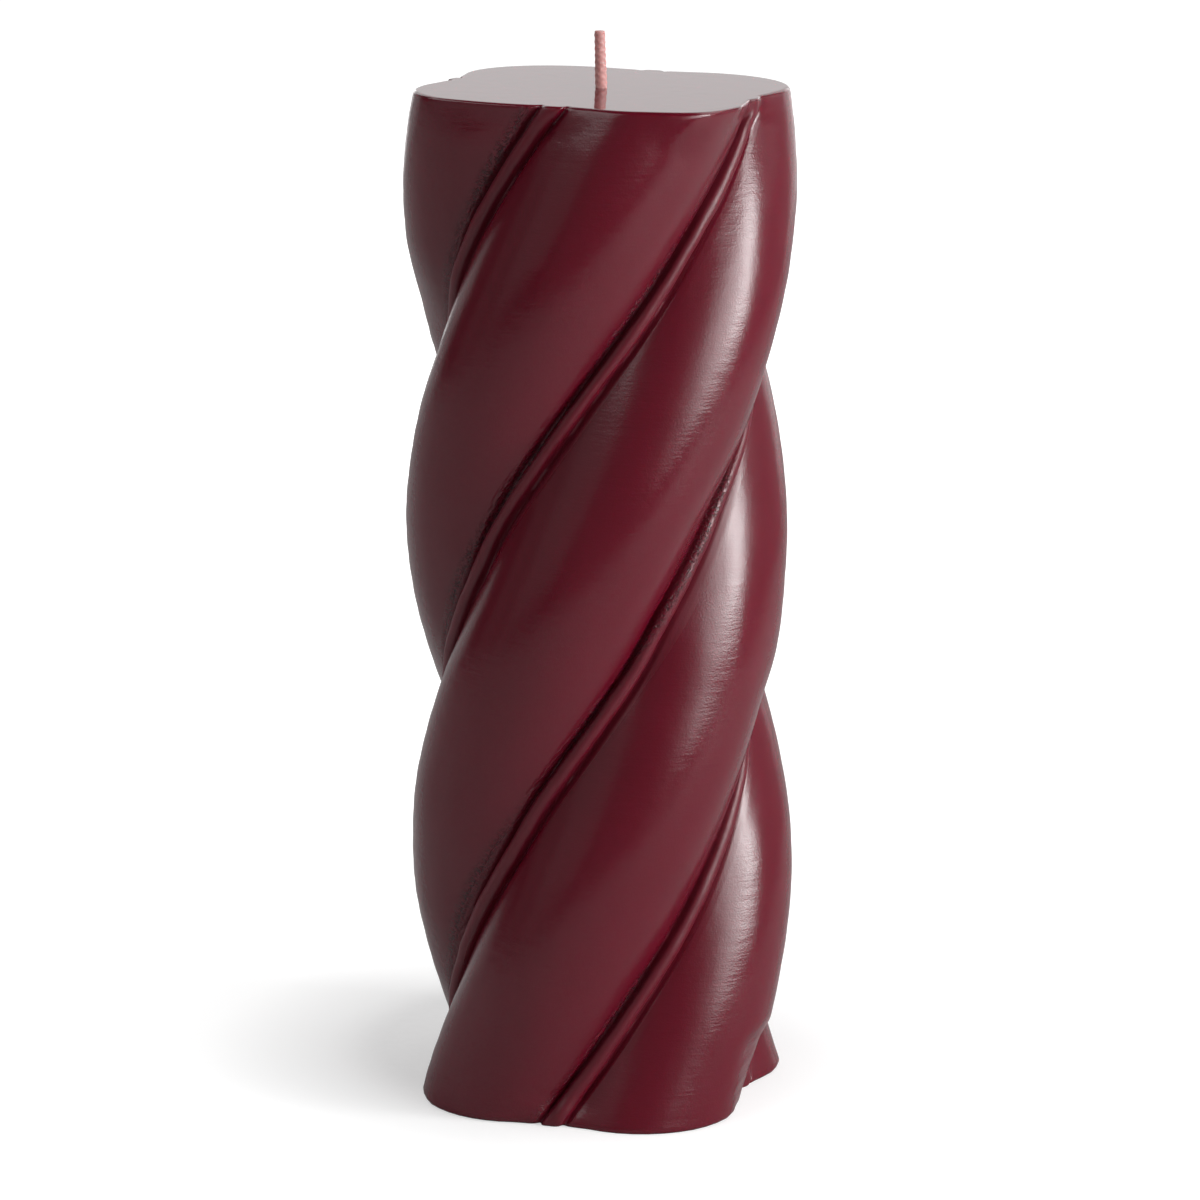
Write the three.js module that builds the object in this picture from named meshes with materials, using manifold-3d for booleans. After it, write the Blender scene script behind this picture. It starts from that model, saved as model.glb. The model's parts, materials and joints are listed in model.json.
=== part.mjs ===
import * as THREE from 'three';
import { mergeVertices } from 'three/addons/utils/BufferGeometryUtils.js';
import Module from 'manifold-3d';

// Twisted pillar candle, standing on its base at z = 0 with its axis on Z, in millimetres and degrees.

// Wax body
const bodyHeight = 200;
const bodyDiameter = 75;
const lobeCount = 4;
const grooveDepth = 10;
const beadRadius = 2.1;
const beadLift = 1.3;
const twistPitch = 268;
const baseTurn = 27;
const topFall = 1.6;

// Wick
const wickDiameter = 2.2;
const wickStub = 11.5;
const wickLean = 0.5;

// Stamped foot that holds the wick
const footDiameter = 20;
const footSheet = 0.4;
const footNeckHeight = 6;
const footNeckFillet = 1;
const footRecess = 0.8;

// Room left between the cast wax, the foot and the wick
const clearance = 0.3;

// Fineness of the faceted solids
const lobeSides = 14;
const beadSides = 5;
const bodyStep = 5;
const wickSides = 12;
const wickStep = 4;
const turnedSides = 48;
const filletSides = 4;

const fullTurn = 2 * Math.PI;
const bodyRadius = bodyDiameter / 2;
const wickRadius = wickDiameter / 2;
const wickBottom = footRecess;
const footNeckInner = wickRadius + clearance;
const footNeckOuter = footNeckInner + footSheet;
const cutOverrun = 5;

const wasm = await Module();
wasm.setup();

function toSolid(geometry) {
  const bare = geometry.clone();
  bare.deleteAttribute('normal');
  bare.deleteAttribute('uv');
  const merged = mergeVertices(bare, 1e-4);
  const vertProperties = Float32Array.from(merged.attributes.position.array);
  const triVerts = Uint32Array.from(merged.index.array);
  return new wasm.Manifold(new wasm.Mesh({ numProp: 3, vertProperties, triVerts }));
}

function fromSolid(solid) {
  const mesh = solid.getMesh();
  const geometry = new THREE.BufferGeometry();
  geometry.setAttribute('position', new THREE.BufferAttribute(mesh.vertProperties, 3));
  geometry.setIndex(new THREE.BufferAttribute(mesh.triVerts, 1));
  geometry.computeVertexNormals();
  return geometry;
}

// A profile of (radius, height) points turned about Z
function turned(profile) {
  return new THREE.LatheGeometry(profile, turnedSides).rotateX(Math.PI / 2);
}

// The section is a ring of lobe arcs, with a bead arc where two lobes meet. Each lobe arc touches the
// outer diameter and would reach the bottom of the groove, so its centre follows from those two radii.
function bodySection() {
  const middle = new THREE.Vector2(0, 0);
  const halfLobe = Math.PI / lobeCount;
  const valleyRadius = bodyRadius - grooveDepth;
  const reach = bodyRadius - valleyRadius * Math.cos(halfLobe);
  const lobeOffset = (bodyRadius ** 2 - valleyRadius ** 2) / (2 * reach);
  const lobeRadius = bodyRadius - lobeOffset;
  const beadOffset = valleyRadius + beadLift;

  // The crease is where the bead's circle crosses the lobe's, seen from the lobe's centre
  const lobeCentre = new THREE.Vector2(lobeOffset, 0);
  const beadCentre = new THREE.Vector2(beadOffset, 0);
  const toBead = beadCentre.clone().rotateAround(middle, halfLobe).sub(lobeCentre);
  const centres = toBead.length();
  const along = (lobeRadius ** 2 - beadRadius ** 2 + centres ** 2) / (2 * centres);
  const lobeEnd = toBead.angle() - Math.acos(along / lobeRadius);
  const crease = new THREE.Vector2(bodyRadius, 0).rotateAround(lobeCentre, lobeEnd);
  const creaseFromBead = crease.clone().rotateAround(middle, -halfLobe).sub(beadCentre);
  const beadEnd = Math.atan2(-creaseFromBead.y, creaseFromBead.x);

  const lobe = new THREE.EllipseCurve(lobeOffset, 0, lobeRadius, lobeRadius, -lobeEnd, lobeEnd);
  const bead = new THREE.EllipseCurve(beadOffset, 0, beadRadius, beadRadius, -beadEnd, beadEnd);
  const outline = [];
  for (let i = 0; i < lobeCount; i += 1) {
    const turn = i * fullTurn / lobeCount;
    const lobePoints = lobe.getPoints(lobeSides);
    const beadPoints = bead.getPoints(beadSides).slice(1, -1);
    lobePoints.forEach((point) => outline.push(point.rotateAround(middle, turn)));
    beadPoints.forEach((point) => outline.push(point.rotateAround(middle, turn + halfLobe)));
  }
  return new THREE.Shape(outline);
}

// The straight bar of that section, with each level turned in proportion to its height and the top
// level brought down towards +X, as it was cut
function twistedBar() {
  const steps = Math.round(bodyHeight / bodyStep);
  const bar = new THREE.ExtrudeGeometry(bodySection(), { depth: bodyHeight, steps, bevelEnabled: false });
  const position = bar.attributes.position;
  const point = new THREE.Vector3();
  const axis = new THREE.Vector3(0, 0, 1);
  for (let i = 0; i < position.count; i += 1) {
    point.fromBufferAttribute(position, i);
    const isTop = point.z > bodyHeight - bodyStep / 2;
    point.applyAxisAngle(axis, THREE.MathUtils.degToRad(baseTurn) + fullTurn * point.z / twistPitch);
    if (isTop) point.z -= topFall * point.x / bodyDiameter;
    position.setXYZ(i, point.x, point.y, point.z);
  }
  return bar;
}

// Sheet disc with a rounded corner up into the neck. With room, it is the pocket cast round the foot.
function footProfile(room) {
  const discTop = footRecess + footSheet + room;
  const neckTop = footRecess + footNeckHeight + room;
  const neck = footNeckOuter + room;
  const fillet = footNeckFillet - room;
  const cornerX = neck + fillet;
  const cornerZ = discTop + fillet;
  const corner = new THREE.EllipseCurve(cornerX, cornerZ, fillet, fillet, 1.5 * Math.PI, Math.PI, true);
  return [
    new THREE.Vector2(footDiameter / 2 + room, discTop),
    ...corner.getPoints(filletSides),
    new THREE.Vector2(neck, neckTop),
  ];
}

function waxBodyGeometry() {
  const bore = wickRadius + clearance;
  const boreTop = bodyHeight + topFall + cutOverrun;
  const pocket = [
    new THREE.Vector2(0, -cutOverrun),
    new THREE.Vector2(footDiameter / 2 + clearance, -cutOverrun),
    ...footProfile(clearance),
    new THREE.Vector2(0, footRecess + footNeckHeight + clearance),
  ];
  const boreProfile = [
    new THREE.Vector2(0, 0),
    new THREE.Vector2(bore, 0),
    new THREE.Vector2(bore, boreTop),
    new THREE.Vector2(0, boreTop),
  ];
  const holes = toSolid(turned(pocket)).add(toSolid(turned(boreProfile)));
  return fromSolid(toSolid(twistedBar()).subtract(holes));
}

function wickGeometry() {
  const top = new THREE.Vector3(0, 0, bodyHeight);
  const tip = new THREE.Vector3(-wickLean, 0, bodyHeight + wickStub);
  const path = new THREE.CurvePath();
  path.add(new THREE.LineCurve3(new THREE.Vector3(0, 0, wickBottom), top));
  path.add(new THREE.QuadraticBezierCurve3(top, new THREE.Vector3(0, 0, bodyHeight + wickStub / 2), tip));
  const round = new THREE.EllipseCurve(0, 0, wickRadius, wickRadius);
  const section = new THREE.Shape(round.getPoints(wickSides).slice(0, -1));
  const steps = Math.round(path.getLength() / wickStep);
  return new THREE.ExtrudeGeometry(section, { extrudePath: path, steps });
}

function wickFootGeometry() {
  const inner = footNeckInner;
  const profile = [
    new THREE.Vector2(inner, footRecess),
    new THREE.Vector2(footDiameter / 2, footRecess),
    ...footProfile(0),
    new THREE.Vector2(inner, footRecess + footNeckHeight),
    new THREE.Vector2(inner, footRecess),
  ];
  return turned(profile);
}

function named(name, geometry, color, roughness, metalness) {
  const mesh = new THREE.Mesh(geometry, new THREE.MeshStandardMaterial({ color, roughness, metalness }));
  mesh.name = name;
  return mesh;
}

const candle = new THREE.Group();
candle.add(named('wax_body', waxBodyGeometry(), 0x6a2c38, 0.35, 0));
candle.add(named('wick', wickGeometry(), 0xb08080, 0.8, 0));
candle.add(named('wick_sustainer', wickFootGeometry(), 0xb9bbbd, 0.35, 1));

export default candle;
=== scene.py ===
"""Looks of the twisted pillar candle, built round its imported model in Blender."""

import json
import math

import bmesh
import bpy
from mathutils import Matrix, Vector

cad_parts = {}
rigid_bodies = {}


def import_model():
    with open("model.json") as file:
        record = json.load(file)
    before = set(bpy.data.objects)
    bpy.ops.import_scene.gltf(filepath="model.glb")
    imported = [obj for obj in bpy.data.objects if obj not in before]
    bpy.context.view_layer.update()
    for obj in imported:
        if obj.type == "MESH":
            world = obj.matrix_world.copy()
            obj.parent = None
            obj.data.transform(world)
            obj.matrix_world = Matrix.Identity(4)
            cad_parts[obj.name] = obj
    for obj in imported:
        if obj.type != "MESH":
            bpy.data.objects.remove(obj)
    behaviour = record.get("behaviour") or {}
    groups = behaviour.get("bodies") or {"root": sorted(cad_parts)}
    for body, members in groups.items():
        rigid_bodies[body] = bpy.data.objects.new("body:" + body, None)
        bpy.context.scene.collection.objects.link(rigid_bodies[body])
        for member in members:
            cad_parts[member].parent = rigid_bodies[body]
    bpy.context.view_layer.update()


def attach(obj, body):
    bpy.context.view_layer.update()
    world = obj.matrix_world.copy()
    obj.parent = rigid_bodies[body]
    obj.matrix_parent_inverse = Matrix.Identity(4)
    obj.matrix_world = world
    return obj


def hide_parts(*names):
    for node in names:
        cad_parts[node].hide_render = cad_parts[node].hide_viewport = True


MM = 0.001
FULL_TURN = 2 * math.pi

# The candle's body, in millimetres and degrees, as the part's source has it
BODY_HEIGHT = 200
BODY_RADIUS = 37.5
LOBE_RADIUS = 19.51
BEAD_RADIUS = 2.13
BEAD_CREST = 30.88
BEAD_OFF_CENTRE = -0.19
MIDDLE_TURN = -19.35
TWIST_PER_MM = 1.34224

# How this casting departs from an even one
LOBE_GROWTH = (-0.33, 0.56, 0.10, -0.13)
END_TURN = 1.88
BOW = -0.96
FOOT_FLARE = 0.5
FOOT_FLARE_REACH = 14
TOP_SLOPE = 0.0208
TOP_SLOPE_REACH = 60
TILT_FROM = 1.5

# Rounded rim and foot
RIM_ROUND = 0.7
FOOT_ROUND = 0.8

# Channels beside each bead, and the marks that the mould left there
LEFT_CREASE_DEPTH = 1.0
RIGHT_CREASE_DEPTH = 0.75
CREASE_REACH = 1.15
CREASE_PASSES = 4
ON_CREASE = 0.05
CHATTER_NEAR = 0.35
CHATTER_FAR = 2.4
SEAM_ANGLE = 20
SEAM_HALF_ANGLE = 3.4
CREST_HALF_ANGLE = 16

# How the channels fill up at the rim and the foot
RIM_FILL = 1.3
FOOT_FILL = 1.5
FILL_REACH = 6.5
CHANNEL_END_FILL = 0.4
CHANNEL_END_REACH = 1.7

# The right groove's channels and bead fade out towards the rim
FADE_BEARINGS = (-55, -5)
FADE_HEIGHT = 3.5
FADE_STEPS = 5
FADE_REACH = 1.2
FADE_CHANNEL = 1.1
FADE_CREST = -0.4

# The corner of the rim where that groove has run out is smoothed
CORNER_BEARINGS = (-45, -6)
CORNER_DEPTH = 2.2
CORNER_WITHIN = 35
CORNER_PASSES = 60

# The right groove's bead sinks in at the foot
SINK_BEARINGS = (-24, -6)
SINK_HEIGHT = 5
SINK_CREST = -0.9
SINK_REACH = 2.0

# Mesh spacing of the body
LOBE_STEPS = 16
LEFT_EDGE_STEPS = 14
RIGHT_EDGE_STEPS = 9
EDGE_WIDTH = 3.2
BEAD_STEPS = 20
BODY_ROWS = 372
ROUNDING_STEPS = 4
NEAR = 0.01

# How much each ring of the top and of the base shrinks from the one before
TOP_SHRINKS = (0.985, 0.94, 0.88, 0.82, 0.78, 0.75, 0.7, 0.62)
BASE_SHRINKS = (0.98, 0.9, 0.82, 0.75, 0.75)

# Round rings further in, as (radius, rise from the ring before) in millimetres
TOP_RINGS = ((4.2, 0), (2.6, 0))
TOP_RINGS_BY_WICK = ((2.1, 0), (1.8, 0), (1.6, 0), (1.45, 0), (1.35, 0))
WICK_HOLE = ((1.25, 0), (1.22, -0.2))
WELL = ((11.2, 0), (10.6, 0), (10.42, 0.06), (10.32, 0.2), (10.3, 0.9), (10.2, 0.3),
        (9.9, 0.04), (5, 0), (2.5, 0), (2.2, 0.06), (2.1, 0.3), (2.1, 5.0), (1.9, 0.2),
        (1.4, 0.04))

# The wick and its braid, in millimetres
WICK_TIP = 211.0
WICK_END = 0.8
BRAID_FOOT = 198.4
BRAID_PITCH = 5.2
STRANDS_EACH_WAY = 4
STRAND_RADIUS = 0.36
STRAND_RING = 0.72
STRAND_WEAVE = 0.07
CORE_RADIUS = 1.0
WICK_LEAN = -0.3
WICK_ASIDE = -0.25
BRAID_PLUG = 0.8
BRAID_VOXEL = 0.07
CUT_VOXEL = 0.06
MELT_PASSES = 75
CORE_SIDES = 32
BULGE_LEVEL = 201.0
BULGE_GROWTH = 1.1
BULGE_REACH = 7
LEAN_REACH = 11
TENFOLD = 10

# The wick's stamped foot, in millimetres
FOOT_RADIUS = 10
FOOT_SHEET = 0.4
FOOT_LEVEL = 0.8
ROLLED_EDGE = ((0.12, 0.15), (0.03, 0.35), (-0.03, 0.35), (-0.12, 0.15))
NECK_TOP = 6.8
NECK_INSIDE = 1.4
NECK_BEND = 0.8
SPIN_STEPS = 72
CRIMPS = 4
CRIMP_LEVEL = 4.3
CRIMP_DEPTH = 0.28
CRIMP_REACH = 1.1

# Bands beside each bead in the wax's look, in degrees about the axis: the rougher groove, and the
# lip whose pits carry painted shade
GROOVE_HALF_WIDTH = 4.2
GROOVE_FADE = 2.4
LIP_MIDDLE = 6.4
LIP_HALF_WIDTH = 3.6

# The floor, in metres, and how much it is lifted towards white by distance in millimetres; the
# smaller lifts near the candle paint shade round it, over its real shadow
FLOOR_SIZE = 6
FLOOR_FRONT = 0.42
FLOOR_WHITE_FROM = 600
FLOOR_LIFTS_AND_PAINTED_SHADE = ((36, 0.39), (46, 0.51), (58, 0.59), (72, 0.69), (90, 0.73), (140, 0.78),
               (FLOOR_WHITE_FROM, 1.0))

# Middle of the painted shade on the floor, where it is deepest, in millimetres
PAINTED_SHADE_MIDDLE = (-10, 19, 0)

# What the lamps aim at, in metres, and watts for each unit of radiance and square metre
AIM = (0, 0, 0.1)
LAMP_WATTS = 4.0

# The camera that fits the photo, in metres, millimetres of lens and degrees
CAMERA_PLACE = (0, -0.8736, 0.3083)
CAMERA_DOWN = 13.4964
CAMERA_ROLL = 0.032
LENS = 136.38


def edit(piece):
    """Opens the piece alone in edit mode."""
    if bpy.context.object and bpy.context.object.mode == "EDIT":
        bpy.ops.object.mode_set(mode="OBJECT")
    bpy.ops.object.select_all(action="DESELECT")
    piece.select_set(True)
    bpy.context.view_layer.objects.active = piece
    bpy.ops.object.mode_set(mode="EDIT")
    bpy.ops.mesh.select_mode(type="VERT")


def close_edit():
    bpy.ops.object.mode_set(mode="OBJECT")


def pick(piece, test):
    """Selects only the vertices whose place passes the test."""
    bpy.ops.mesh.select_all(action="DESELECT")
    shell = bmesh.from_edit_mesh(piece.data)
    for vertex in shell.verts:
        vertex.select = test(vertex.co)
    shell.select_flush_mode()
    bmesh.update_edit_mesh(piece.data)


def start_pen(name, place):
    """A new piece with one vertex, from which arcs and lines are drawn."""
    bpy.ops.object.select_all(action="DESELECT")
    bpy.ops.mesh.primitive_plane_add(size=MM)
    piece = bpy.context.object
    piece.name = piece.data.name = name
    edit(piece)
    bpy.ops.mesh.select_all(action="SELECT")
    bpy.ops.mesh.merge(type="CENTER")
    bpy.ops.transform.translate(value=place)
    return piece


def draw_arc(centre, sweep, steps):
    """Draws on from the last vertex, anticlockwise about an upright line."""
    bpy.ops.mesh.spin(steps=steps, angle=-sweep, center=centre, axis=(0, 0, 1))


def ring_on(scale, rise, turn=0.0):
    """Extrudes the selected ring, draws it in towards the axis, lifts it and turns it."""
    bpy.ops.mesh.extrude_region_move(TRANSFORM_OT_translate={"value": (0, 0, rise * MM)})
    bpy.ops.transform.resize(value=(scale, scale, 1), center_override=(0, 0, 0))
    if turn:
        bpy.ops.transform.rotate(value=-turn, orient_axis="Z", center_override=(0, 0, 0))


def apply_modifier(piece, kind, **settings):
    """Adds a modifier, sets it and applies it."""
    bpy.ops.object.select_all(action="DESELECT")
    piece.select_set(True)
    bpy.context.view_layer.objects.active = piece
    modifier = piece.modifiers.new(kind.lower(), kind)
    for name, value in settings.items():
        setattr(modifier, name, value)
    bpy.ops.object.modifier_apply(modifier=modifier.name)


def tidy_shell(piece, smooth_angle):
    """Merges doubles, turns every face outwards and smooths the shading."""
    edit(piece)
    bpy.ops.mesh.select_all(action="SELECT")
    bpy.ops.mesh.remove_doubles(threshold=1e-6)
    bpy.ops.mesh.normals_make_consistent(inside=False)
    close_edit()
    bpy.ops.object.shade_smooth_by_angle(angle=math.radians(smooth_angle))


def polar(radius, angle):
    return radius * math.cos(angle), radius * math.sin(angle)


def outer_meeting(centre_a, radius_a, centre_b, radius_b):
    """The point where two circles cross, the one further from the axis."""
    across = (centre_b[0] - centre_a[0], centre_b[1] - centre_a[1])
    gap = math.hypot(*across)
    along = (gap * gap + radius_a * radius_a - radius_b * radius_b) / (2 * gap)
    aside = math.sqrt(radius_a * radius_a - along * along)
    unit = (across[0] / gap, across[1] / gap)
    foot = (centre_a[0] + unit[0] * along, centre_a[1] + unit[1] * along)
    found = [
        (foot[0] - sign * unit[1] * aside, foot[1] + sign * unit[0] * aside)
        for sign in (1, -1)
    ]
    return max(found, key=lambda point: math.hypot(*point))


def angle_about(centre, point):
    return math.atan2(point[1] - centre[1], point[0] - centre[0])


def lift(point, z):
    return (point[0] * MM, point[1] * MM, z * MM)


def wax_section(z):
    """The body's outline at height z: four fat arcs with a small one in each corner."""
    turn = math.radians(MIDDLE_TURN + TWIST_PER_MM * (z - BODY_HEIGHT / 2))
    lobes, beads = [], []
    for number, growth in enumerate(LOBE_GROWTH):
        direction = turn + number * FULL_TURN / 4
        corner = direction + FULL_TURN / 8 + math.radians(BEAD_OFF_CENTRE)
        lobes.append(polar(BODY_RADIUS - LOBE_RADIUS + growth, direction))
        beads.append(polar(BEAD_CREST - BEAD_RADIUS, corner))
    start = outer_meeting(lobes[0], LOBE_RADIUS, beads[-1], BEAD_RADIUS)
    piece = start_pen("wax_body_cast", lift(start, z))
    pen, lefts, rights = start, [], []
    edge = EDGE_WIDTH / LOBE_RADIUS
    for number, (lobe, bead) in enumerate(zip(lobes, beads)):
        next_lobe = lobes[(number + 1) % len(lobes)]
        left = outer_meeting(lobe, LOBE_RADIUS, bead, BEAD_RADIUS)
        right = outer_meeting(bead, BEAD_RADIUS, next_lobe, LOBE_RADIUS)
        sweep = (angle_about(lobe, left) - angle_about(lobe, pen)) % FULL_TURN
        draw_arc(lift(lobe, z), edge, RIGHT_EDGE_STEPS)
        draw_arc(lift(lobe, z), sweep - 2 * edge, LOBE_STEPS)
        draw_arc(lift(lobe, z), edge, LEFT_EDGE_STEPS)
        sweep = (angle_about(bead, right) - angle_about(bead, left)) % FULL_TURN
        draw_arc(lift(bead, z), sweep, BEAD_STEPS)
        pen = right
        lefts.append(left)
        rights.append(right)
    bpy.ops.mesh.select_all(action="SELECT")
    bpy.ops.mesh.remove_doubles(threshold=0.02 * MM)
    close_edit()
    mark_zones(piece, lefts, rights, beads)
    edit(piece)
    for creases, depth in ((lefts, LEFT_CREASE_DEPTH), (rights, RIGHT_CREASE_DEPTH)):
        deepen = 1 - depth / BEAD_CREST
        pull(piece, lambda p: nearest(p, creases) < ON_CREASE, "resize", CREASE_REACH,
             "SMOOTH", value=(deepen, deepen, 1), center_override=(0, 0, z * MM))
    pick(piece, lambda p: nearest(p, lefts + rights) < CREASE_REACH)
    bpy.ops.mesh.vertices_smooth(factor=0.5, repeat=CREASE_PASSES)
    close_edit()
    return piece


def nearest(place, points):
    """Distance in millimetres, seen from above, to the nearest of the points."""
    return min(math.hypot(place.x / MM - x, place.y / MM - y) for x, y in points)


def mark_zones(piece, lefts, rights, beads):
    """Vertex groups of the section: chattered edge, channel, bead, its seam and its crest."""
    names = ("edge", "channel", "bead", "seam", "crest")
    zones = {name: piece.vertex_groups.new(name=name) for name in names}
    for vertex in piece.data.vertices:
        if nearest(vertex.co, lefts + rights) < ON_CREASE:
            zones["channel"].add([vertex.index], 1.0, "REPLACE")
        on_bead = nearest(vertex.co, beads) < BEAD_RADIUS + ON_CREASE
        from_left = nearest(vertex.co, lefts)
        if on_bead:
            zones["bead"].add([vertex.index], 1.0, "REPLACE")
            place = (vertex.co.x / MM, vertex.co.y / MM)
            bead = min(beads, key=lambda c: math.hypot(place[0] - c[0], place[1] - c[1]))
            outwards = math.atan2(bead[1], bead[0])
            turned = math.degrees(angle_about(bead, place) - outwards)
            turned = (turned + 180) % 360 - 180
            if abs(turned - SEAM_ANGLE) < SEAM_HALF_ANGLE:
                zones["seam"].add([vertex.index], 1.0, "REPLACE")
            if abs(turned) < CREST_HALF_ANGLE:
                zones["crest"].add([vertex.index], 1.0, "REPLACE")
        elif CHATTER_NEAR < from_left < CHATTER_FAR:
            middle = (CHATTER_NEAR + CHATTER_FAR) / 2
            weight = 1 - abs(from_left - middle) / (CHATTER_FAR - CHATTER_NEAR) * 1.2
            zones["edge"].add([vertex.index], max(weight, 0.0), "REPLACE")


def roughen(piece, name, size, depth, zone="", middle=0.5, contrast=1.0):
    """Moves the surface in and out by a cloudy pattern, all over or in one zone."""
    pattern = bpy.data.textures.new(name, "CLOUDS")
    pattern.noise_scale = size * MM
    pattern.noise_depth = 2
    pattern.contrast = contrast
    apply_modifier(
        piece, "DISPLACE", texture=pattern, texture_coords="LOCAL", direction="NORMAL",
        strength=depth * MM, mid_level=middle, vertex_group=zone,
    )


def keep_picked_in_group(piece, name):
    """Keeps only those picked vertices that belong to the vertex group."""
    group = piece.vertex_groups[name].index
    shell = bmesh.from_edit_mesh(piece.data)
    weights = shell.verts.layers.deform.verify()
    for vertex in shell.verts:
        if vertex.select and group not in vertex[weights]:
            vertex.select = False
    shell.select_flush_mode()
    bmesh.update_edit_mesh(piece.data)


def pull(piece, test, kind, reach, falloff, **move):
    """Moves what passes the test, and what lies near it less and less."""
    pick(piece, test)
    pull_picked(kind, reach, falloff, **move)


def pull_picked(kind, reach, falloff, **move):
    """Moves what is picked, and what lies near it less and less."""
    getattr(bpy.ops.transform, kind)(
        use_proportional_edit=True,
        proportional_size=reach * MM,
        proportional_edit_falloff=falloff,
        **move,
    )


def cast_body():
    """The wax body: section, twist, uneven casting, rim, foot, wick well and bore."""
    low, high = FOOT_ROUND, BODY_HEIGHT - RIM_ROUND
    body = wax_section(low)
    span = high - low
    apply_modifier(
        body, "SCREW", axis="Z", angle=math.radians(TWIST_PER_MM * span),
        screw_offset=span * MM, steps=BODY_ROWS, render_steps=BODY_ROWS,
    )
    near = NEAR * MM
    tear_in_stretches(body)
    edit(body)
    half = BODY_HEIGHT / 2
    for level in (low, high):
        pull(body, lambda p: abs(p.z - level * MM) < near, "rotate", half, "SHARP",
             value=-math.radians(END_TURN), orient_axis="Z", center_override=(0, 0, 0))
    row = span / BODY_ROWS
    pull(body, lambda p: abs(p.z - half * MM) < row * MM * 0.6, "translate", half,
         "INVERSE_SQUARE", value=(BOW * MM, 0, 0))
    flare = 1 + FOOT_FLARE / BODY_RADIUS
    pull(body, lambda p: abs(p.z - low * MM) < near, "resize", FOOT_FLARE_REACH, "SHARP",
         value=(flare, flare, 1), center_override=(0, 0, 0))
    bpy.ops.mesh.select_all(action="SELECT")
    bpy.ops.mesh.normals_make_consistent(inside=False)
    close_edit()
    roughen(body, "hand_casting", 42, 0.9)
    roughen(body, "bead_wander", 7, 0.4, "bead")
    roughen(body, "bead_seam", 16, 0.2, "seam", middle=0.8, contrast=1.3)
    roughen(body, "mould_chatter", 0.45, 0.4, "edge", middle=0.72, contrast=2.2)
    edit(body)
    level_ring(body, high)
    level_ring(body, low)
    for level, fill in ((high, RIM_FILL), (low, FOOT_FILL)):
        move_group(body, "channel", level, NEAR, fill, FILL_REACH, "SMOOTH")
        move_group(body, "channel", level, NEAR, CHANNEL_END_FILL, CHANNEL_END_REACH, "SHARP")
    fade_right_groove(body, high)
    move_group(body, "crest", low, SINK_HEIGHT, SINK_CREST, SINK_REACH, "SMOOTH",
               SINK_BEARINGS)
    swell_by_hand(body, low, high)
    soften_right_corner(body, high)
    close_rim(body, high)
    close_foot(body, low)
    bridge_bore(body)
    tip = math.atan(TOP_SLOPE)
    pull(body, lambda p: p.z > (high - NEAR) * MM and math.hypot(p.x, p.y) > TILT_FROM * MM
         or p.z > (high + NEAR) * MM,
         "rotate", TOP_SLOPE_REACH, "SHARP",
         value=-tip, orient_axis="Y", center_override=(0, 0, BODY_HEIGHT * MM))
    close_edit()
    tidy_shell(body, 60)
    return body


def move_group(body, group, level, height, outwards, reach, falloff, bearings=(-180, 180)):
    """Moves a vertex group in or out from the axis where it lies near an end of the body."""
    first, last = (math.radians(bearing) for bearing in bearings)
    pick(body, lambda p: abs(p.z - level * MM) < height * MM
         and first <= math.atan2(p.y, p.x) <= last)
    keep_picked_in_group(body, group)
    grow = 1 + outwards / BEAD_CREST
    pull_picked("resize", reach, falloff, value=(grow, grow, 1), center_override=(0, 0, 0))


def fade_right_groove(body, level):
    """Fills the channels and lowers the bead of the right groove, more at each step up."""
    for step in range(FADE_STEPS):
        height = FADE_HEIGHT * (1 - step / FADE_STEPS)
        for group, outwards in (("channel", FADE_CHANNEL), ("crest", FADE_CREST)):
            move_group(body, group, level, height, outwards / FADE_STEPS, FADE_REACH,
                       "SMOOTH", FADE_BEARINGS)


def soften_right_corner(body, level):
    """Smooths the rim where the right groove has run out, so that it turns in one curve."""
    first, last = (math.radians(bearing) for bearing in CORNER_BEARINGS)
    pick(body, lambda p: p.z > (level - CORNER_DEPTH) * MM
         and math.hypot(p.x, p.y) < CORNER_WITHIN * MM
         and first <= math.atan2(p.y, p.x) <= last)
    bpy.ops.mesh.vertices_smooth(factor=0.5, repeat=CORNER_PASSES, zaxis=False)


def tear_in_stretches(body):
    """Weakens the chattered edge except in a few stretches of each groove."""
    edge = body.vertex_groups["edge"]
    for vertex in body.data.vertices:
        weights = [g.weight for g in vertex.groups if g.group == edge.index]
        if weights:
            height = vertex.co.z / MM
            bearing = math.atan2(vertex.co.y, vertex.co.x)
            groove = round((bearing - math.radians(TWIST_PER_MM * height)) / (FULL_TURN / 4))
            wave = math.sin(height / 6.3 + 1.9 * groove) + 0.6 * math.sin(height / 2.7)
            torn = min(max(0.35 + 0.55 * wave, 0.12), 1.0)
            edge.add([vertex.index], weights[0] * torn, "REPLACE")


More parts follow.
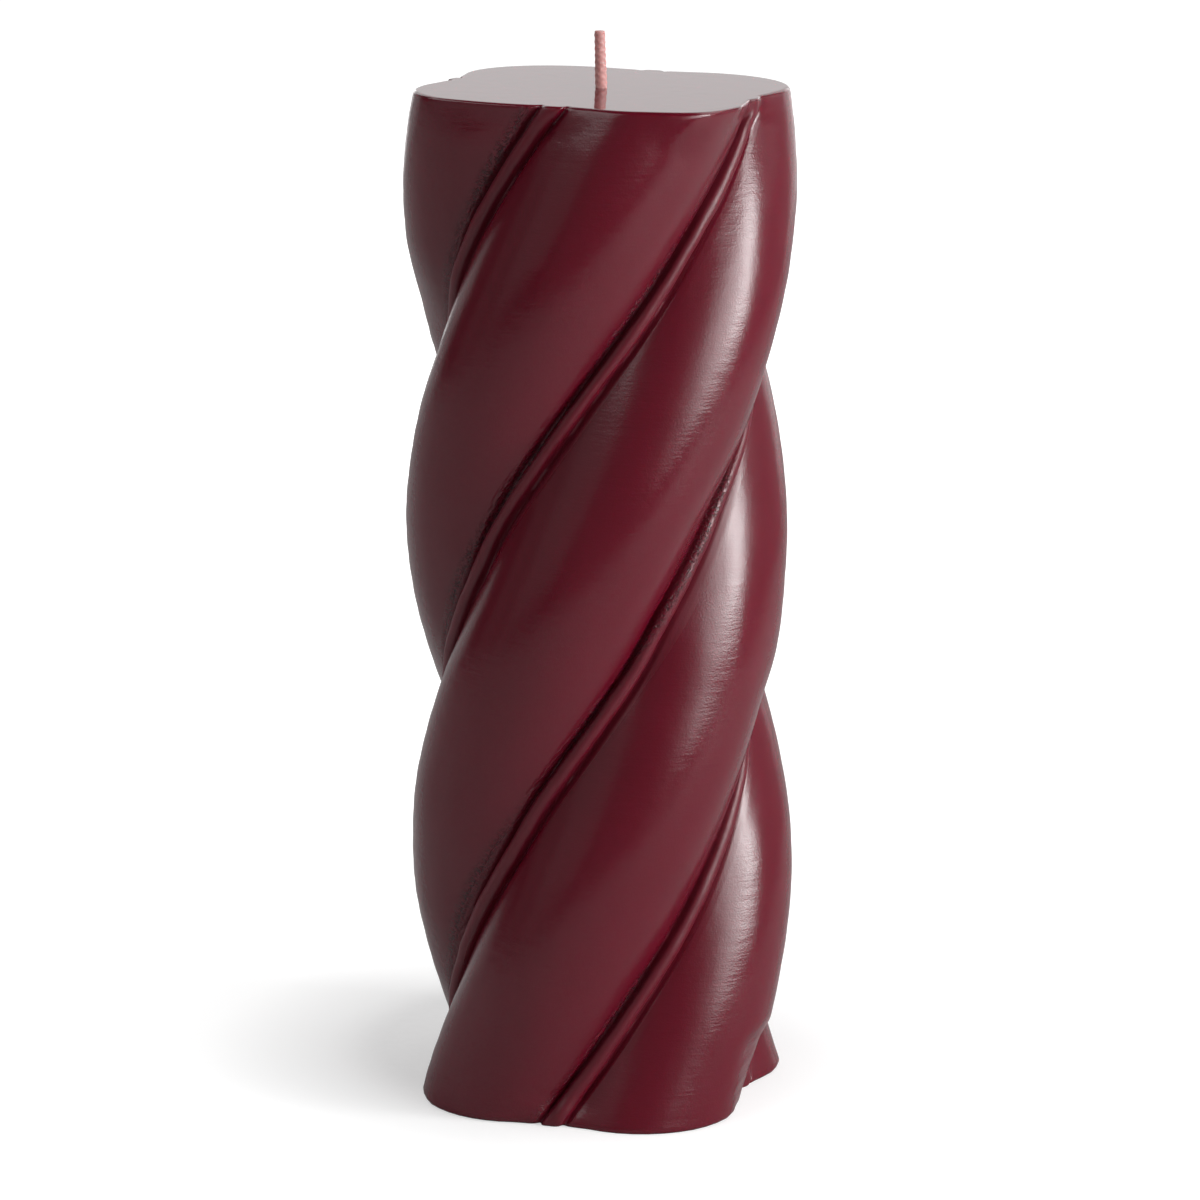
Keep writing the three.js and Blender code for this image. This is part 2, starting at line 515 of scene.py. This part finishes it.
def swell_by_hand(body, low, high):
    """Swellings and hollows of this one casting: where, how far each way, and reach."""
    def swell(bearings, heights, reach, falloff, outwards, sideways=0.0):
        first, last = (math.radians(bearing) for bearing in bearings)
        middle = (first + last) / 2

        def inside(p):
            turned = (math.atan2(p.y, p.x) - middle + math.pi) % FULL_TURN - math.pi
            return (abs(turned) < (last - first) / 2
                    and heights[0] * MM < p.z < heights[1] * MM)

        out_x, out_y = polar(outwards, middle)
        side_x, side_y = polar(sideways, middle + math.pi / 2)
        pull(body, inside, "translate", reach, falloff,
             value=((out_x + side_x) * MM, (out_y + side_y) * MM, 0))

    foot = (0, low + 0.3)
    rim = (high - 0.3, BODY_HEIGHT)
    swell((-152, -112), foot, 24, "SHARP", 1.5)  # foot, front left
    swell((-22, -8), (low - 0.3, 8), 7, "SMOOTH", -0.8, -0.6)  # foot, right groove
    swell((-99, -74), (7, 22), 20, "SMOOTH", 0, -0.6)  # foot, first groove
    swell((-152, -130), (33, 50), 20, "SMOOTH", 0, 1.3)  # second groove, left
    swell((-60, -38), (104, 120), 20, "SMOOTH", 0, -1.8)  # second groove, right
    swell((-118, -97), (127, 143), 24, "SMOOTH", 0, -0.5)  # third groove, middle
    swell((-158, -140), (97, 107), 12, "SMOOTH", 0, 0.9)  # third groove, left
    swell((-50, -30), (178, 193), 18, "SMOOTH", 0, -0.7)  # third groove, right
    swell((-44, -29), rim, 8, "SMOOTH", 0.5, -1.4)  # rim, right groove
    swell((-37, -25), rim, 3.5, "SMOOTH", 1.0)  # rim, right corner
    swell((-47, -33), foot, 14, "SMOOTH", -0.7)  # foot, right flank
    swell((-38, -24), (low - 0.3, 13), 6, "SMOOTH", -1.3)  # foot, right edge
    swell((-6, 14), foot, 9, "SHARP", 0.4, -0.6)  # foot, back right
    swell((-107, -92), rim, 8, "SMOOTH", 0, 0.8)  # rim, first groove
    swell((-12, 34), rim, 52, "SMOOTH", 1.4, 1.2)  # rim, right
    swell((-66, -56), rim, 9, "SMOOTH", 1.6)  # rim, front right
    swell((-139, -129), rim, 9, "SMOOTH", -1.3)  # rim, front left
    swell((176, 188), (154, 157), 15, "SMOOTH", -1.2)  # left, under the first lobe
    swell((-6, 6), (90, 93), 16, "SMOOTH", 0.9)  # right, middle
    swell((-6, 6), (47, 50), 28, "SMOOTH", 0.5)  # right, low
    swell((174, 186), (20, 24), 20, "SMOOTH", -0.35)  # left, low


def level_ring(body, level):
    """Flattens the open ring near a height, which the roughening has moved a little."""
    reach = BODY_HEIGHT / BODY_ROWS / 3
    pick(body, lambda p: abs(p.z / MM - level) < reach)
    bpy.ops.transform.resize(value=(1, 1, 0), center_override=(0, 0, level * MM))


def round_over(size, steps, way):
    """Rounds the open ring of the body over by a quarter circle, up or down."""
    scale_before, rise_before = 1.0, 0.0
    for step in range(1, steps + 1):
        angle = math.pi / 2 * step / steps
        scale = 1 - size * (1 - math.cos(angle)) / BODY_RADIUS
        rise = size * math.sin(angle)
        climb = (rise - rise_before) * way
        ring_on(scale / scale_before, climb, math.radians(TWIST_PER_MM * climb))
        scale_before, rise_before = scale, rise


def rings_in(start_radius, rings):
    """Round rings inside the selected one: each is (radius, rise) in millimetres."""
    radius_before = start_radius
    for radius, rise in rings:
        ring_on(radius / radius_before, rise)
        radius_before = radius


def ring_radius(body):
    """The selected ring's radius, in millimetres."""
    shell = bmesh.from_edit_mesh(body.data)
    chosen = [v.co for v in shell.verts if v.select]
    return max(math.hypot(p.x, p.y) for p in chosen) / MM


def make_round(body):
    """Turns the selected ring into a circle about the axis."""
    bpy.ops.transform.tosphere(value=1.0)
    shell = bmesh.from_edit_mesh(body.data)
    chosen = [v for v in shell.verts if v.select]
    middle_x = sum(v.co.x for v in chosen) / len(chosen)
    middle_y = sum(v.co.y for v in chosen) / len(chosen)
    bpy.ops.transform.translate(value=(-middle_x, -middle_y, 0))


def close_rim(body, level):
    """Rounds the rim over and draws the top in flat to the hole round the wick."""
    pick(body, lambda p: abs(p.z - level * MM) < NEAR * MM)
    round_over(RIM_ROUND, ROUNDING_STEPS, 1)
    for scale in TOP_SHRINKS:
        ring_on(scale, 0)
    make_round(body)
    rings_in(ring_radius(body), TOP_RINGS)
    bpy.ops.transform.translate(value=(WICK_ASIDE * MM, 0, 0))
    rings_in(TOP_RINGS[-1][0], TOP_RINGS_BY_WICK)
    bpy.ops.transform.translate(value=(WICK_ASIDE / 2 * MM, 0, 0))
    rings_in(TOP_RINGS_BY_WICK[-1][0], WICK_HOLE)


def close_foot(body, level):
    """Rounds the foot in, draws the base in flat and sinks the well of the wick's foot."""
    pick(body, lambda p: abs(p.z - level * MM) < NEAR * MM)
    round_over(FOOT_ROUND, ROUNDING_STEPS, -1)
    bpy.ops.transform.resize(value=(1, 1, 0), center_override=(0, 0, 0))
    for scale in BASE_SHRINKS:
        ring_on(scale, 0)
    make_round(body)
    rings_in(ring_radius(body), WELL)


def bridge_bore(body):
    """Joins the well to the hole in the top by the bore of the wick."""
    shell = bmesh.from_edit_mesh(body.data)
    for vertex in shell.verts:
        vertex.select = False
    for edge in shell.edges:
        if edge.is_boundary:
            edge.select = True
    shell.select_flush(True)
    bmesh.update_edit_mesh(body.data)
    bpy.ops.mesh.bridge_edge_loops()


def braid_strand():
    """One strand of the braid, ten times full size: a helix that goes over and under."""
    crossings = 2 * STRANDS_EACH_WAY
    step = BRAID_PITCH / crossings
    count = math.ceil((WICK_TIP + 1 - BRAID_FOOT) / step) + 2
    start = BRAID_FOOT - 2 * step
    big = TENFOLD * MM
    strand = start_pen("wick_braid", (STRAND_RING * big, 0, start * big))
    close_edit()
    apply_modifier(
        strand, "SCREW", axis="Z", angle=count * FULL_TURN / crossings,
        screw_offset=count * step * big, steps=count, render_steps=count,
    )
    edit(strand)
    for parity, way in ((0, 1), (1, -1)):
        pick(strand, lambda p: round((p.z / big - start) / step) % 2 == parity)
        swell = 1 + way * STRAND_WEAVE / STRAND_RING
        bpy.ops.transform.resize(value=(swell, swell, 1), center_override=(0, 0, 0))
    close_edit()
    bpy.ops.object.convert(target="CURVE")
    bpy.ops.object.mode_set(mode="EDIT")
    bpy.ops.curve.select_all(action="SELECT")
    bpy.ops.curve.spline_type_set(type="BEZIER")
    bpy.ops.curve.handle_type_set(type="AUTOMATIC")
    bpy.ops.object.mode_set(mode="OBJECT")
    strand.data.resolution_u = 5
    strand.data.bevel_depth = STRAND_RADIUS * big
    strand.data.bevel_resolution = 2
    strand.data.use_fill_caps = True
    bpy.ops.object.convert(target="MESH")
    return bpy.context.object, step


def copy_turned(piece, turn, mirror=False, rise=0.0):
    """A copy with its own mesh, mirrored, turned about the axis and lifted."""
    bpy.ops.object.select_all(action="DESELECT")
    piece.select_set(True)
    bpy.context.view_layer.objects.active = piece
    bpy.ops.object.duplicate()
    made = bpy.context.object
    edit(made)
    bpy.ops.mesh.select_all(action="SELECT")
    if mirror:
        bpy.ops.transform.resize(value=(1, -1, 1), center_override=(0, 0, 0))
        bpy.ops.mesh.flip_normals()
    bpy.ops.transform.rotate(value=-turn, orient_axis="Z", center_override=(0, 0, 0))
    bpy.ops.transform.translate(value=(0, 0, rise))
    close_edit()
    return made


def join(pieces):
    bpy.ops.object.select_all(action="DESELECT")
    for piece in pieces:
        piece.select_set(True)
    bpy.context.view_layer.objects.active = pieces[0]
    bpy.ops.object.join()
    return bpy.context.object


def pick_open_edges():
    """Selects only the edges that have one face."""
    bpy.ops.mesh.select_all(action="DESELECT")
    bpy.ops.mesh.select_mode(type="EDGE")
    bpy.ops.mesh.select_non_manifold(
        extend=False, use_wire=False, use_boundary=True, use_multi_face=False,
        use_non_contiguous=False, use_verts=False,
    )
    bpy.ops.mesh.select_mode(type="VERT")


def braided_wick():
    """The braid above the wax, soaked in it, and the plain length of wick below."""
    strand, step = braid_strand()
    turn = FULL_TURN / STRANDS_EACH_WAY
    one_way = join([strand] + [
        copy_turned(strand, turn * number) for number in range(1, STRANDS_EACH_WAY)
    ])
    big = TENFOLD * MM
    other_way = copy_turned(one_way, -turn / 2, mirror=True, rise=step * big)
    core_height = (WICK_TIP + 2 - BRAID_FOOT) * big
    bpy.ops.mesh.primitive_cylinder_add(
        vertices=CORE_SIDES, radius=CORE_RADIUS * big, depth=core_height,
        location=(0, 0, BRAID_FOOT * big + core_height / 2 - big),
    )
    core = bpy.context.object
    bpy.ops.object.transform_apply(location=True)
    wick = join([one_way, other_way, core])
    apply_modifier(wick, "REMESH", mode="VOXEL", voxel_size=BRAID_VOXEL * big)
    edit(wick)
    bpy.ops.mesh.select_all(action="SELECT")
    bpy.ops.mesh.bisect(
        plane_co=(0, 0, WICK_TIP * big), plane_no=(0, 0.06, 1), clear_outer=True
    )
    pick_open_edges()
    bpy.ops.mesh.edge_face_add()
    close_edit()
    apply_modifier(wick, "REMESH", mode="VOXEL", voxel_size=CUT_VOXEL * big)
    apply_modifier(wick, "SMOOTH", factor=0.5, iterations=MELT_PASSES)
    edit(wick)
    side = 0.9 * STRAND_RING * big
    pick(wick, lambda p: math.hypot(p.x, p.y) > side and p.z < (BRAID_FOOT + 1) * big)
    bpy.ops.mesh.select_linked()
    bpy.ops.mesh.select_all(action="INVERT")
    bpy.ops.mesh.delete(type="VERT")
    bpy.ops.mesh.select_all(action="SELECT")
    bpy.ops.transform.resize(
        value=(1 / TENFOLD, 1 / TENFOLD, 1 / TENFOLD), center_override=(0, 0, 0)
    )
    bpy.ops.mesh.select_all(action="SELECT")
    bpy.ops.mesh.bisect(
        plane_co=(0, 0, BRAID_FOOT * MM), plane_no=(0, 0, 1), clear_inner=True
    )
    bpy.ops.mesh.select_all(action="SELECT")
    bpy.ops.mesh.delete_loose()
    pick_open_edges()
    bpy.ops.mesh.extrude_region_move(TRANSFORM_OT_translate={"value": (0, 0, -BRAID_PLUG * MM)})
    make_round(wick)
    bpy.ops.transform.resize(
        value=(1, 1, 0), center_override=(0, 0, (BRAID_FOOT - BRAID_PLUG) * MM)
    )
    bpy.ops.mesh.extrude_region_move(
        TRANSFORM_OT_translate={"value": (0, 0, (WICK_END + 0.2 + BRAID_PLUG - BRAID_FOOT) * MM)}
    )
    ring_on(0.85, -0.2)
    bpy.ops.mesh.edge_face_add()
    pull(wick, lambda p: abs(p.z - BULGE_LEVEL * MM) < 0.4 * MM, "resize", BULGE_REACH,
         "SMOOTH", value=(BULGE_GROWTH, BULGE_GROWTH, 1), center_override=(0, 0, 0))
    pull(wick, lambda p: p.z > (WICK_TIP - 0.1) * MM, "translate", LEAN_REACH, "LINEAR",
         value=(WICK_LEAN * MM, 0, 0))
    bpy.ops.mesh.select_all(action="SELECT")
    bpy.ops.transform.translate(value=(WICK_ASIDE * MM, 0, 0))
    close_edit()
    tidy_shell(wick, 60)
    return wick


def draw_lines(*moves):
    """Draws on from the last vertex in straight lines of (outwards, up) millimetres."""
    for out, up in moves:
        bpy.ops.mesh.extrude_region_move(
            TRANSFORM_OT_translate={"value": (out * MM, 0, up * MM)}
        )


def draw_bend(out, up, sweep, steps):
    """Draws a bend about a point given as (outwards, up), clockwise seen from the front."""
    bpy.ops.mesh.spin(
        steps=steps, angle=sweep, center=(out * MM, 0, up * MM), axis=(0, 1, 0)
    )


def stamped_foot():
    """The wick's foot: a stamped tinplate disc with a pressed ring and a crimped neck."""
    under = FOOT_LEVEL
    quarter = math.pi / 2
    bend_out = NECK_INSIDE + NECK_BEND
    start = (NECK_INSIDE * MM, 0, (NECK_TOP - 0.1) * MM)
    foot = start_pen("wick_sustainer_stamped", start)
    rolled_edge = [(out, share * FOOT_SHEET) for out, share in ROLLED_EDGE]
    wall = NECK_TOP - 0.1 - (under + NECK_BEND)
    draw_lines(*[(0, -wall / 8)] * 8)
    draw_bend(bend_out, under + NECK_BEND, quarter, 6)
    draw_lines((5.6 - bend_out, 0), (0.2, 0.04), (0.2, 0.21), (0.6, 0), (0.2, -0.21),
               (0.2, -0.04), (FOOT_RADIUS - 0.15 - 7.0, 0), *rolled_edge,
               (7.1 - FOOT_RADIUS + 0.15, 0), (-0.2, 0.04),
               (-0.2, 0.21), (-0.8, 0), (-0.2, -0.21), (-0.2, -0.04), (bend_out - 5.5, 0))
    draw_bend(bend_out, under + NECK_BEND, -quarter, 6)
    draw_lines(*[(0, wall / 8)] * 8)
    draw_lines((-0.1, 0.1), (-0.2, 0))
    bpy.ops.mesh.select_all(action="SELECT")
    bpy.ops.mesh.remove_doubles(threshold=0.01 * MM)
    bpy.ops.mesh.edge_face_add()
    bpy.ops.mesh.delete(type="ONLY_FACE")
    bpy.ops.mesh.select_all(action="SELECT")
    bpy.ops.mesh.spin(steps=SPIN_STEPS, angle=FULL_TURN, center=(0, 0, 0), axis=(0, 0, 1))
    bpy.ops.mesh.select_all(action="SELECT")
    bpy.ops.mesh.remove_doubles(threshold=0.01 * MM)
    bpy.ops.mesh.normals_make_consistent(inside=False)
    for number in range(CRIMPS):
        side = polar(1, FULL_TURN * (number + 0.5) / CRIMPS)
        pull(foot, lambda p: abs(p.z - CRIMP_LEVEL * MM) < 0.5 * MM
             and p.x * side[0] + p.y * side[1] > 1.3 * MM
             and math.hypot(p.x, p.y) < 2 * MM,
             "translate", CRIMP_REACH, "SMOOTH",
             value=(-CRIMP_DEPTH * side[0] * MM, -CRIMP_DEPTH * side[1] * MM, 0))
    close_edit()
    tidy_shell(foot, 40)
    return foot


class Value:
    """One output of a node. Sums and products of values add their Math nodes."""

    def __init__(self, recipe, socket):
        self.recipe, self.socket = recipe, socket

    def math(self, operation, *others):
        inputs = dict(enumerate((self, *others)))
        return self.recipe.node("ShaderNodeMath", {"operation": operation}, inputs)

    def __add__(self, other):
        return self.math("ADD", other)

    def __sub__(self, other):
        return self.math("SUBTRACT", other)

    def __rsub__(self, other):
        return self.recipe.constant_first("SUBTRACT", other, self)

    def __mul__(self, other):
        return self.math("MULTIPLY", other)

    def __truediv__(self, other):
        return self.math("DIVIDE", other)

    def __pow__(self, other):
        return self.math("POWER", other)

    __radd__ = __add__
    __rmul__ = __mul__

    def clamped(self):
        return self.recipe.node("ShaderNodeClamp", {}, {"Value": self})

    def output(self, name):
        return Value(self.recipe, self.socket.node.outputs[name])


class Recipe:
    """The nodes of one material or of the world."""

    def __init__(self, tree):
        self.tree = tree
        tree.nodes.clear()

    def node(self, kind, settings=None, inputs=None):
        made = self.tree.nodes.new(kind)
        for name, value in (settings or {}).items():
            if name == "stops":
                self.set_stops(made.color_ramp, value)
            else:
                setattr(made, name, value)
        for name, value in (inputs or {}).items():
            if isinstance(value, Value):
                self.tree.links.new(value.socket, made.inputs[name])
            else:
                made.inputs[name].default_value = value
        return Value(self, made.outputs[0]) if made.outputs else made

    def set_stops(self, ramp, stops):
        while len(ramp.elements) < len(stops):
            ramp.elements.new(1.0)
        for element, (place, tone) in zip(ramp.elements, stops):
            element.position = place
            element.color = tone if hasattr(tone, "__len__") else (tone, tone, tone, 1)

    def constant_first(self, operation, first, second):
        return self.node("ShaderNodeMath", {"operation": operation}, {0: first, 1: second})

    def mix(self, share, first, second):
        """A colour between two others."""
        settings = {"data_type": "RGBA", "clamp_factor": True}
        made = self.node("ShaderNodeMix", settings, {0: share, 6: first, 7: second})
        return Value(self, made.socket.node.outputs[2])

    def vector(self, operation, first, second=None, scale=None):
        inputs = {0: first}
        if second is not None:
            inputs[1] = second
        if scale is not None:
            inputs["Scale"] = scale
        return self.node("ShaderNodeVectorMath", {"operation": operation}, inputs)

    def parts(self, place):
        """The three numbers of a place."""
        first = self.node("ShaderNodeSeparateXYZ", {}, {"Vector": place})
        return first, first.output("Y"), first.output("Z")

    def length(self, place):
        found = self.vector("LENGTH", place)
        return found.output("Value")

    def ramp(self, share, *stops):
        return self.node("ShaderNodeValToRGB", {"stops": stops}, {"Fac": share})

    def place_mm(self):
        """Object coordinates in millimetres."""
        place = self.node("ShaderNodeTexCoord").output("Object")
        return self.vector("SCALE", place, scale=1000.0)

    def stretched(self, place, scale):
        return self.vector("MULTIPLY", place, scale)

    def noise(self, place, scale, detail=2.0, roughness=0.5):
        inputs = {"Vector": place, "Scale": scale, "Detail": detail, "Roughness": roughness}
        return self.node("ShaderNodeTexNoise", {}, inputs)

    def bump(self, height, depth_mm, under=None):
        """Relief of the given depth for heights from 0 to 1."""
        inputs = {"Height": height, "Strength": 1.0, "Distance": depth_mm * MM}
        if under is not None:
            inputs["Normal"] = under
        return self.node("ShaderNodeBump", {}, inputs)

    def finish(self, shader):
        self.node("ShaderNodeOutputMaterial", {}, {"Surface": shader})


def new_material(name):
    material = bpy.data.materials.new(name)
    material.use_nodes = True
    return material, Recipe(material.node_tree)


def srgb(red, green, blue):
    """A colour from 0 to 255 as the eye names it, in the shader's linear numbers."""
    def linear(level):
        level /= 255
        return level / 12.92 if level <= 0.04045 else ((level + 0.055) / 1.055) ** 2.4
    return (linear(red), linear(green), linear(blue), 1.0)


def dyed_wax():
    """Burgundy wax: satin where the mould shaped it, glossier where it was poured."""
    material, r = new_material("burgundy_wax")
    place = r.place_mm()
    across, deep, up = r.parts(place)
    poured = ((up + TOP_SLOPE * across - (BODY_HEIGHT - 0.4)) / 0.3).clamped()
    cloud = r.noise(place, 0.035, 3, 0.55)
    speckle = r.noise(place, 0.9, 2, 0.6)
    colour = r.mix(cloud, srgb(96, 8, 28), srgb(103, 11, 33))
    colour = r.mix(speckle * 0.15, colour, srgb(63, 5, 17))
    grain = r.noise(r.stretched(place, (0.2, 0.2, 1.6)), 1.0, 2, 0.6)
    ripple = r.noise(r.stretched(place, (0.07, 0.07, 0.5)), 1.0, 1, 0.5)
    pores = r.noise(place, 3.0, 1, 0.5)
    dents = r.noise(place, 0.28, 2, 0.5)
    bearing = deep.math("ARCTAN2", across) * (360 / FULL_TURN)
    first_bead = MIDDLE_TURN + 45 + BEAD_OFF_CENTRE - TWIST_PER_MM * BODY_HEIGHT / 2
    off_bead = (bearing - TWIST_PER_MM * up - first_bead).math("WRAP", 45.0, -45.0)
    in_groove = (
        (1 - (off_bead.math("ABSOLUTE") - GROOVE_HALF_WIDTH) / GROOVE_FADE).clamped() * (1 - poured)
    )
    on_lip = (
        (1 - (off_bead + LIP_MIDDLE).math("ABSOLUTE") / LIP_HALF_WIDTH).clamped() * (1 - poured)
    )
    stretches = ((r.noise(place, 0.06, 1, 0.5) - 0.42) * 6).clamped()
    pits = ((r.noise(r.stretched(place, (1, 1, 1.4)), 1.5, 2, 0.7) - 0.48) * 9).clamped()
    # Pits along the lip beside each channel, sunk by the bump below, with painted shade: their
    # colour is darkened nearly to black
    shaded_pits = on_lip * pits * (0.45 + 0.55 * stretches)
    colour = r.mix(shaded_pits * 0.8, colour, srgb(34, 3, 10))
    relief = r.bump(1 - shaded_pits, 0.14)
    relief = r.bump(dents * (1 - 0.7 * poured), 0.05, relief)
    relief = r.bump(grain * (1 - poured), 0.03, relief)
    relief = r.bump(ripple * (1 - poured), 0.025, relief)
    relief = r.bump(pores * (1 - poured), 0.022, relief)
    moulded = 0.17 + 0.05 * r.noise(place, 0.12, 2, 0.5) + 0.04 * grain + 0.2 * in_groove
    shader = r.node("ShaderNodeBsdfPrincipled", {}, {
        "Base Color": colour,
        "Roughness": moulded * (1 - poured) + 0.06 * poured,
        "Normal": relief,
        "IOR": 1.5,
        "Subsurface Weight": 0.35,
        "Subsurface Radius": (1.0, 0.15, 0.2),
        "Subsurface Scale": 0.002,
    })
    r.finish(shader)
    return material


def plain_wick():
    material, r = new_material("waxed_cotton")
    place = r.place_mm()
    fibre = r.noise(r.stretched(place, (9, 9, 2.5)), 1.0, 3, 0.6)
    colour = r.mix(fibre, srgb(200, 143, 140), srgb(214, 164, 160))
    shader = r.node("ShaderNodeBsdfPrincipled", {}, {
        "Base Color": colour,
        "Roughness": 0.45 + 0.15 * fibre,
        "Normal": r.bump(fibre, 0.012),
        "Subsurface Weight": 0.5,
        "Subsurface Radius": (1.0, 0.6, 0.55),
        "Subsurface Scale": 0.0012,
    })
    r.finish(shader)
    return material


def tin_plate():
    material, r = new_material("tinned_sheet_steel")
    place = r.place_mm()
    rolled = r.noise(r.stretched(place, (0.4, 6, 0.4)), 1.0, 3, 0.6)
    cloud = r.noise(place, 0.35, 3, 0.5)
    colour = r.mix(cloud, srgb(196, 197, 196), srgb(222, 222, 218))
    shader = r.node("ShaderNodeBsdfPrincipled", {}, {
        "Base Color": colour,
        "Metallic": 1.0,
        "Roughness": 0.24 + 0.12 * rolled + 0.08 * cloud,
        "Normal": r.bump(rolled, 0.008),
    })
    r.finish(shader)
    return material


def studio_floor():
    """Pale matt paper. The camera sees it lifted to the white of the backdrop, less near the
    candle, which paints shade round it over its real shadow.
    """
    material, r = new_material("pale_paper")
    place = r.place_mm()
    tooth = r.noise(place, 0.5, 2, 0.5)
    paper = r.node("ShaderNodeBsdfDiffuse", {}, {
        "Color": r.mix(tooth, (0.52, 0.52, 0.52, 1), (0.56, 0.56, 0.56, 1)),
    })
    seen = r.node("ShaderNodeLightPath").output("Is Camera Ray")
    # Painted shade: the lift is smaller near a point behind the candle on its left, so the floor
    # the camera sees is darker round it
    far = r.length(r.vector("SUBTRACT", place, PAINTED_SHADE_MIDDLE)) / FLOOR_WHITE_FROM
    lift_and_painted_shade = r.ramp(far, *[(reach / FLOOR_WHITE_FROM, lift) for reach, lift in FLOOR_LIFTS_AND_PAINTED_SHADE])
    lifted = r.node("ShaderNodeEmission", {}, {"Color": lift_and_painted_shade, "Strength": 1.0})
    both = r.node("ShaderNodeAddShader", {}, {0: paper, 1: lifted})
    shader = r.node("ShaderNodeMixShader", {}, {0: seen, 1: paper, 2: both})
    r.finish(shader)
    bpy.ops.mesh.primitive_grid_add(
        x_subdivisions=4, y_subdivisions=4, size=FLOOR_SIZE,
        location=(0, FLOOR_SIZE / 2 - FLOOR_FRONT, 0),
    )
    bpy.ops.object.transform_apply(location=True)
    floor = bpy.context.object
    floor.name = "floor"
    floor.data.materials.append(material)


def softbox(name, azimuths, elevations, distance, radiance):
    """An area lamp that faces the candle and fills the given angles seen from it.

    Azimuth 0 is towards the camera, and the viewer's right is plus.
    """
    azimuth, elevation = (math.radians(sum(pair) / 2) for pair in (azimuths, elevations))
    half_wide, half_high = (
        math.radians(pair[1] - pair[0]) / 2 for pair in (azimuths, elevations)
    )
    lamp = bpy.data.lights.new(name, "AREA")
    lamp.shape = "RECTANGLE"
    lamp.size = 2 * distance * math.tan(half_wide) * math.cos(elevation)
    lamp.size_y = 2 * distance * math.tan(half_high)
    lamp.energy = radiance * lamp.size * lamp.size_y * LAMP_WATTS
    box = bpy.data.objects.new(name, lamp)
    bpy.context.scene.collection.objects.link(box)
    way = Vector((
        math.sin(azimuth) * math.cos(elevation),
        -math.cos(azimuth) * math.cos(elevation),
        math.sin(elevation),
    ))
    box.location = Vector(AIM) + way * distance
    box.rotation_euler = way.to_track_quat("Z", "Y").to_euler()
    box.visible_camera = False


def studio_lights():
    softbox("key", (34, 79), (1, 27), 0.9, 2.6)
    softbox("key soft edge", (22, 36), (-3, 28), 0.88, 0.6)
    softbox("key step", (44, 78), (6, 30), 0.92, 2.4)
    softbox("key inner", (55, 77), (8, 33), 0.94, 2.8)
    softbox("key core", (63, 76), (11, 37), 0.96, 6.0)
    softbox("key top", (35, 77), (27, 38), 0.9, 1.4)
    softbox("far left card", (-104, -77), (-2, 34), 1.3, 0.1)
    softbox("left card", (-77, -36), (-2, 34), 1.3, 0.22)
    softbox("left high card", (-125, -35), (36, 60), 1.3, 1.5)
    softbox("front dim card", (-34, 28), (-16, 40), 1.5, 0.09)
    softbox("front right card", (8, 30), (0, 40), 1.3, 0.12)
    softbox("right card", (84, 131), (-2, 20), 1.3, 0.25)
    softbox("right high card", (86, 131), (18, 36), 1.3, 0.5)
    softbox("right overhead card", (95, 150), (38, 62), 1.3, 1.3)
    softbox("back right card", (133, 167), (-4, 18), 1.3, 0.75)
    softbox("backdrop", (158, 202), (-2, 19), 1.6, 0.66)
    softbox("backdrop top", (150, 210), (19, 55), 1.6, 0.8)
    softbox("back left card", (188, 202), (-4, 14), 1.3, 0.9)
    softbox("back far left card", (203, 230), (-4, 18), 1.3, 0.25)


def studio_world():
    world = bpy.data.worlds.new("studio")
    bpy.context.scene.world = world
    world.use_nodes = True
    r = Recipe(world.node_tree)
    seen = r.node("ShaderNodeLightPath").output("Is Camera Ray")
    room = r.node("ShaderNodeBackground", {}, {"Color": (1, 1, 1, 1), "Strength": 0.05})
    white = r.node("ShaderNodeBackground", {}, {"Color": (1, 1, 1, 1), "Strength": 1.0})
    both = r.node("ShaderNodeMixShader", {}, {0: seen, 1: room, 2: white})
    r.node("ShaderNodeOutputWorld", {}, {"Surface": both})


def camera():
    lens = bpy.data.cameras.new("camera")
    lens.sensor_width = 36
    lens.lens = LENS
    lens.clip_start, lens.clip_end = 0.01, 100
    stand = bpy.data.objects.new("camera", lens)
    bpy.context.scene.collection.objects.link(stand)
    stand.location = CAMERA_PLACE
    stand.rotation_euler = (math.radians(90 - CAMERA_DOWN), 0, math.radians(CAMERA_ROLL))
    bpy.context.scene.camera = stand


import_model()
bpy.ops.object.select_all(action="DESELECT")

body = cast_body()
body.data.materials.clear()
body.data.materials.append(dyed_wax())
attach(body, "root")
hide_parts("wax_body")

wick = braided_wick()
wick.data.materials.clear()
wick.data.materials.append(plain_wick())
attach(wick, "root")
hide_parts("wick")

foot = stamped_foot()
foot.data.materials.append(tin_plate())
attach(foot, "root")
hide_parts("wick_sustainer")

studio_floor()
studio_lights()
studio_world()
camera()
bpy.context.scene.view_settings.view_transform = "Standard"
